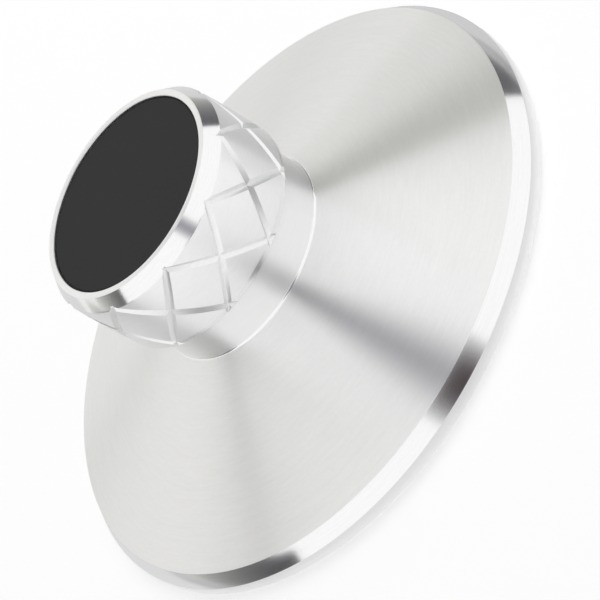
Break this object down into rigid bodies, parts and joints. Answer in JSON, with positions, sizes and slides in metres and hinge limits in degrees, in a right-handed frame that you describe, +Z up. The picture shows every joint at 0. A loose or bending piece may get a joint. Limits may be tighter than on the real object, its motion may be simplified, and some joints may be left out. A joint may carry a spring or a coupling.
{
  "type": "record weight",
  "caption": "Turned aluminium record weight: a flared disc, a collar and a diamond-cut finger grip with a black inlay, and a spindle hole in its underside.",
  "frame": {"origin": "on the spindle axis, in the plane that the pad rests on", "axes": "+Z up along the spindle axis, from the pad to the cap; +X through a place where two grooves cross at the top of the grip"},
  "size_m": [0.09, 0.09, 0.0355],
  "materials": {
    "turned_aluminium": "fine circular turning lines on the flared disc, bright-cut bevels and grooves",
    "inlay_rubber": "matt black with a faint grain",
    "pad_rubber": "matt black, soft"
  },
  "bodies": {
    "root": {"weight_body": "turned_aluminium", "top_inlay": "inlay_rubber", "base_pad": "pad_rubber"}
  },
  "joints": []
}
